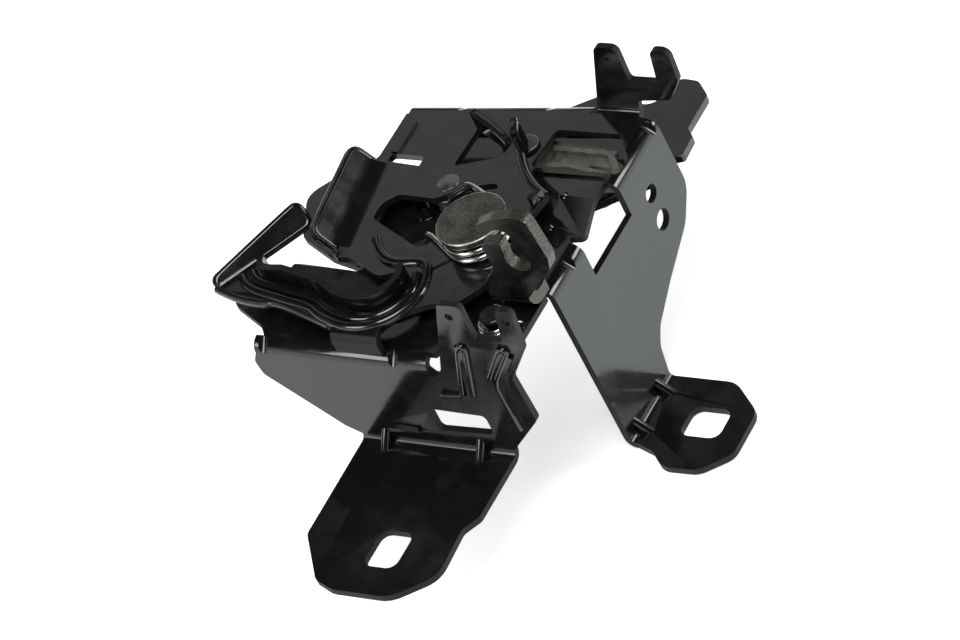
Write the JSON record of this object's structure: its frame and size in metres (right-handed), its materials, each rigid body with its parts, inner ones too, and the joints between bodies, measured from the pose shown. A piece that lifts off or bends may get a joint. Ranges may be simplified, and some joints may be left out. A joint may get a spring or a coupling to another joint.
{
  "type": "bonnet latch",
  "caption": "Folded black steel bonnet latch with a flared striker mouth, a spring-loaded pivoting catch with a cable hook, cable forks and bolt-on feet.",
  "frame": {"origin": "closed end of the mouth, on the base plate's upper face", "axes": "+X along the mouth towards its closed end, +Y towards the rear fork, +Z out of the plate towards the mouth plate"},
  "size_m": [0.1318, 0.1771, 0.0984],
  "materials": {
    "black_paint": "gloss black paint",
    "phosphated_steel": "dark phosphated steel",
    "zinc_steel": "bright zinc plated wire",
    "bare_casting": "bare die casting"
  },
  "bodies": {
    "frame": {"base_plate": "black_paint", "mouth_plate": "black_paint", "catch_pivot": "phosphated_steel", "catch_spring": "zinc_steel", "return_spring": "zinc_steel", "spring_pin": "phosphated_steel", "plate_rivet": "black_paint", "safety_pivot": "phosphated_steel", "safety_washer": "zinc_steel", "safety_spring": "zinc_steel"},
    "catch": {"catch": "phosphated_steel"},
    "safety": {"safety_hub": "bare_casting", "safety_lever": "black_paint", "hub_rivets": "phosphated_steel"}
  },
  "joints": [
    {"name": "catch_hinge", "type": "hinge", "parent": "frame", "child": "catch", "pos_m": [0.0196, 0.0182, 0.0025], "axis": [0, 0, 1], "range_deg": [0, 14], "deforming": ["catch_spring", "return_spring"]},
    {"name": "safety_hinge", "type": "hinge", "parent": "frame", "child": "safety", "pos_m": [0.0095, 0.0595, -0.01], "axis": [0, 0, 1], "range_deg": [0, 10], "deforming": ["safety_spring"]}
  ]
}
